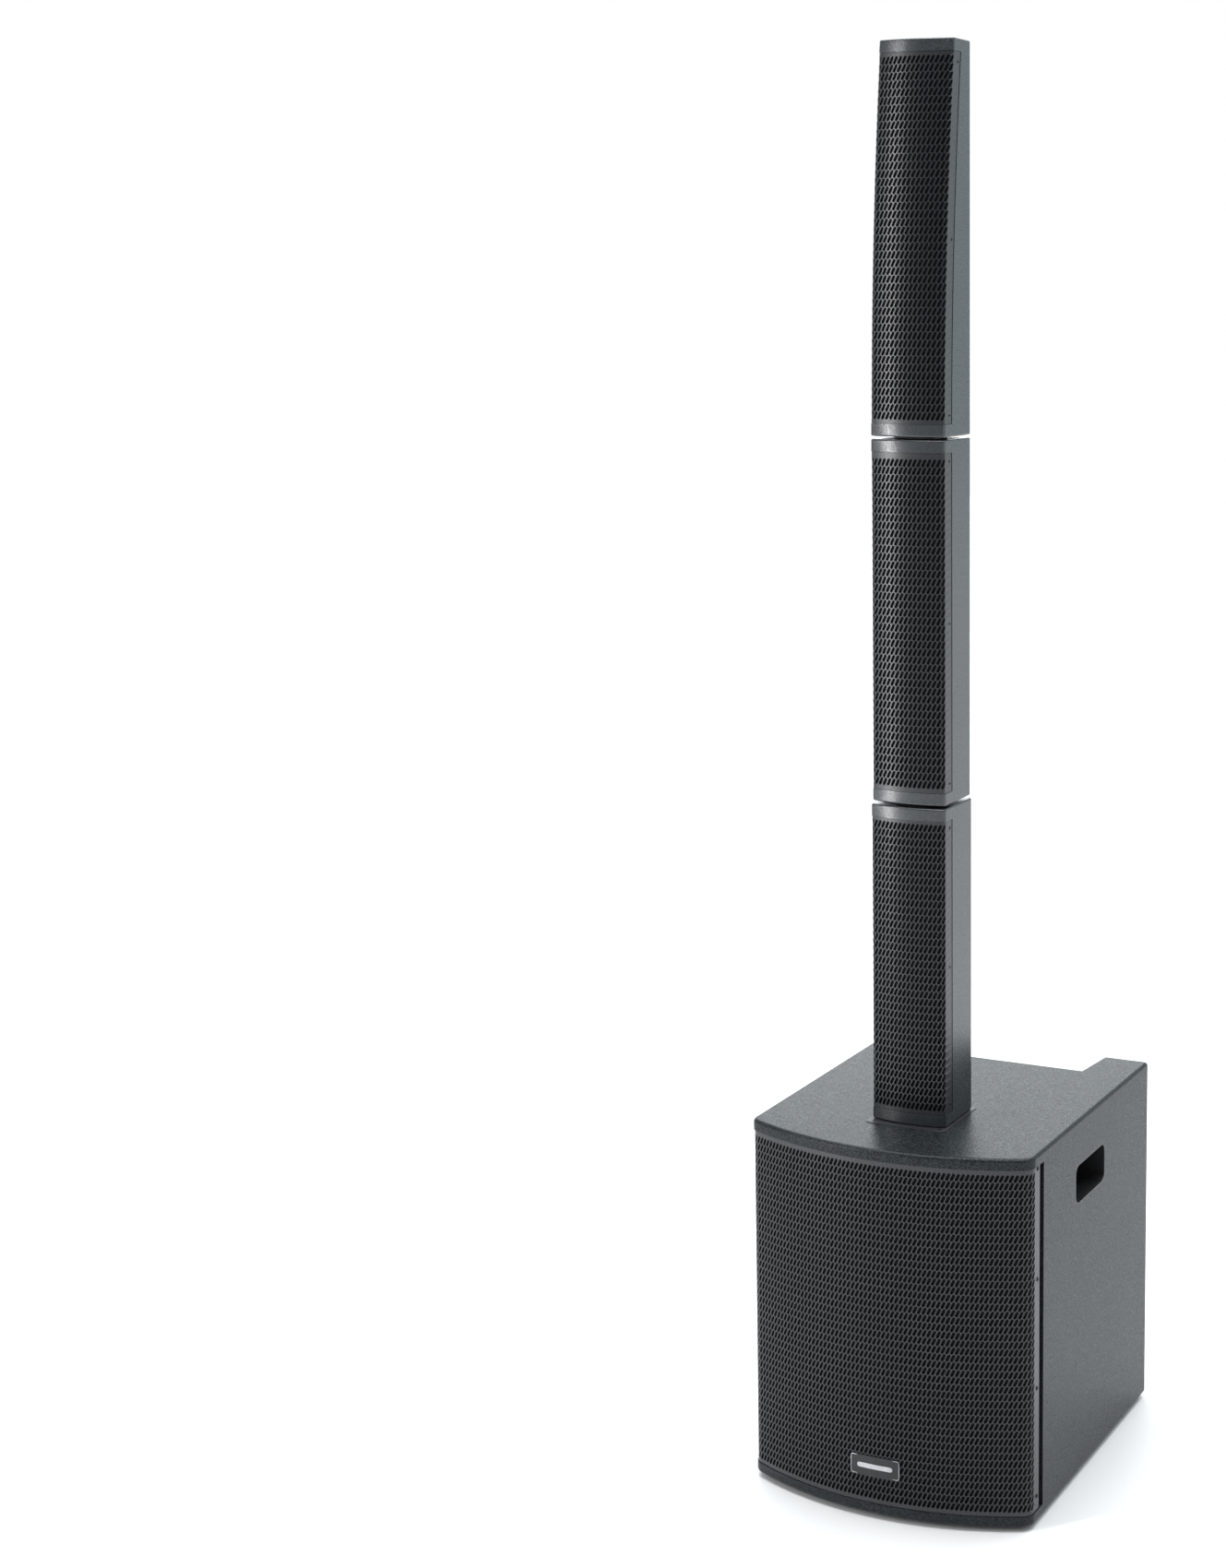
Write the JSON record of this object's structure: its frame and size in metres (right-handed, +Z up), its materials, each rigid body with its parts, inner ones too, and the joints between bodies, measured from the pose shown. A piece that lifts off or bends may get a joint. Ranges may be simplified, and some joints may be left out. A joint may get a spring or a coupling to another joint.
{
  "type": "column pa system",
  "caption": "Column loudspeaker system: plug-together column modules with perforated grilles on a bow-fronted bass cabinet with pocket handles and a rear amplifier panel.",
  "frame": {"origin": "on the floor, at the centre of the whole object's footprint, which is the bass cabinet's", "axes": "+Z up; -Y is the listening side, towards which the bowed grilles face; +X is the cabinet's side on the right of someone who faces the grilles"},
  "size_m": [0.4, 0.485, 1.8878],
  "materials": {
    "cabinet_paint": "fine textured paint on wood",
    "baffle_board": "black stained board",
    "grille_steel": "powder coated perforated steel",
    "badge_metal": "satin name plate without lettering",
    "handle_plastic": "moulded",
    "foot_rubber": "moulded rubber",
    "black_screws": "black oxide",
    "ferrite": "ferrite",
    "plated_steel": "zinc plated",
    "coil": "enamelled copper on a former",
    "cone_paper": "pressed paper pulp",
    "cap_paper": "pressed paper",
    "surround_rubber": "rubber roll",
    "spider_cloth": "resin-treated cloth",
    "basket_metal": "painted steel",
    "port_plastic": "moulded",
    "socket_plastic": "moulded",
    "contact_brass": "gilded contact",
    "panel_steel": "powder coated",
    "sink_aluminium": "black anodised",
    "board": "circuit board",
    "fitting_plastic": "moulded",
    "rocker_plastic": "moulded",
    "jack_plastic": "moulded",
    "jack_metal": "gilded",
    "pot_metal": "plated",
    "knob_plastic": "moulded",
    "button_plastic": "moulded",
    "enclosure_plastic": "satin painted moulding",
    "plate_plastic": "moulded",
    "pin_chrome": "polished",
    "driver_metal": "painted steel"
  },
  "bodies": {
    "bass_cabinet": {"cabinet_shell": "cabinet_paint", "front_baffle": "baffle_board", "sub_grille": "grille_steel", "badge": "badge_metal", "right_handle_cup": "handle_plastic", "left_handle_cup": "handle_plastic", "feet": "foot_rubber", "cabinet_screws": "black_screws", "woofer_magnet": "ferrite", "woofer_yoke": "plated_steel", "woofer_surround": "surround_rubber", "woofer_spider": "spider_cloth", "woofer_basket": "basket_metal", "woofer_screws": "black_screws", "port_tubes": "port_plastic", "column_socket": "socket_plastic", "socket_contacts": "contact_brass", "amp_panel": "panel_steel", "heat_sink": "sink_aluminium", "amp_board": "board", "mains_inlet": "fitting_plastic", "switch_bezel": "fitting_plastic", "combo_jacks": "jack_plastic", "rca_jacks": "jack_metal", "potentiometers": "pot_metal"},
    "woofer_moving_parts": {"woofer_cone": "cone_paper", "voice_coil": "coil", "dust_cap": "cap_paper"},
    "low_module": {"low_enclosure": "enclosure_plastic", "low_grille": "grille_steel", "low_bottom_plate": "plate_plastic", "low_top_plate": "plate_plastic", "low_guide_pins": "pin_chrome", "low_contacts": "contact_brass", "low_screws": "black_screws", "low_drivers": "driver_metal"},
    "low_moving_cones": {"low_driver_cones": "cone_paper"},
    "mid_module": {"mid_enclosure": "enclosure_plastic", "mid_grille": "grille_steel", "mid_bottom_plate": "plate_plastic", "mid_top_plate": "plate_plastic", "mid_guide_pins": "pin_chrome", "mid_contacts": "contact_brass", "mid_screws": "black_screws", "mid_drivers": "driver_metal"},
    "mid_moving_cones": {"mid_driver_cones": "cone_paper"},
    "top_module": {"top_enclosure": "enclosure_plastic", "top_grille": "grille_steel", "top_bottom_plate": "plate_plastic", "top_guide_pins": "pin_chrome", "top_contacts": "contact_brass", "top_screws": "black_screws", "top_drivers": "driver_metal"},
    "top_moving_cones": {"top_driver_cones": "cone_paper"},
    "input_1_knob_body": {"input_1_knob": "knob_plastic"},
    "input_2_knob_body": {"input_2_knob": "knob_plastic"},
    "sub_level_knob_body": {"sub_level_knob": "knob_plastic"},
    "master_knob_body": {"master_knob": "knob_plastic"},
    "power_rocker_body": {"power_rocker": "rocker_plastic"},
    "mode_button_body": {"mode_button": "button_plastic"}
  },
  "joints": [
    {"name": "low_module_lift", "type": "slide", "parent": "bass_cabinet", "child": "low_module", "axis": [0, 0, 1], "range_m": [0, 0.08]},
    {"name": "mid_module_lift", "type": "slide", "parent": "low_module", "child": "mid_module", "axis": [0, 0, 1], "range_m": [0, 0.08]},
    {"name": "top_module_lift", "type": "slide", "parent": "mid_module", "child": "top_module", "axis": [0, 0, 1], "range_m": [0, 0.08]},
    {"name": "woofer_travel", "type": "slide", "parent": "bass_cabinet", "child": "woofer_moving_parts", "axis": [0, -1, 0], "range_m": [-0.006, 0.006], "stiffness_N_per_m": 3000, "deforming": ["woofer_surround", "woofer_spider"]},
    {"name": "low_cone_travel", "type": "slide", "parent": "low_module", "child": "low_moving_cones", "axis": [0, -1, 0], "range_m": [-0.001, 0.001], "stiffness_N_per_m": 900},
    {"name": "mid_cone_travel", "type": "slide", "parent": "mid_module", "child": "mid_moving_cones", "axis": [0, -1, 0], "range_m": [-0.001, 0.001], "stiffness_N_per_m": 900},
    {"name": "top_cone_travel", "type": "slide", "parent": "top_module", "child": "top_moving_cones", "axis": [0, -0.998, 0.0629], "range_m": [-0.001, 0.001], "stiffness_N_per_m": 900},
    {"name": "input_1_knob_turn", "type": "hinge", "parent": "bass_cabinet", "child": "input_1_knob_body", "pos_m": [0.087, 0.1675, 0.445], "axis": [0, 1, 0], "range_deg": [-140, 140]},
    {"name": "input_2_knob_turn", "type": "hinge", "parent": "bass_cabinet", "child": "input_2_knob_body", "pos_m": [0.029, 0.1675, 0.445], "axis": [0, 1, 0], "range_deg": [-140, 140]},
    {"name": "sub_level_knob_turn", "type": "hinge", "parent": "bass_cabinet", "child": "sub_level_knob_body", "pos_m": [-0.029, 0.1675, 0.445], "axis": [0, 1, 0], "range_deg": [-140, 140]},
    {"name": "master_knob_turn", "type": "hinge", "parent": "bass_cabinet", "child": "master_knob_body", "pos_m": [-0.087, 0.1675, 0.445], "axis": [0, 1, 0], "range_deg": [-140, 140]},
    {"name": "power_rocker_swing", "type": "hinge", "parent": "bass_cabinet", "child": "power_rocker_body", "pos_m": [0.024, 0.1635, 0.165], "axis": [1, 0, 0], "range_deg": [0, 12]},
    {"name": "mode_button_press", "type": "slide", "parent": "bass_cabinet", "child": "mode_button_body", "axis": [0, -1, 0], "range_m": [0, 0.0015], "stiffness_N_per_m": 500}
  ]
}
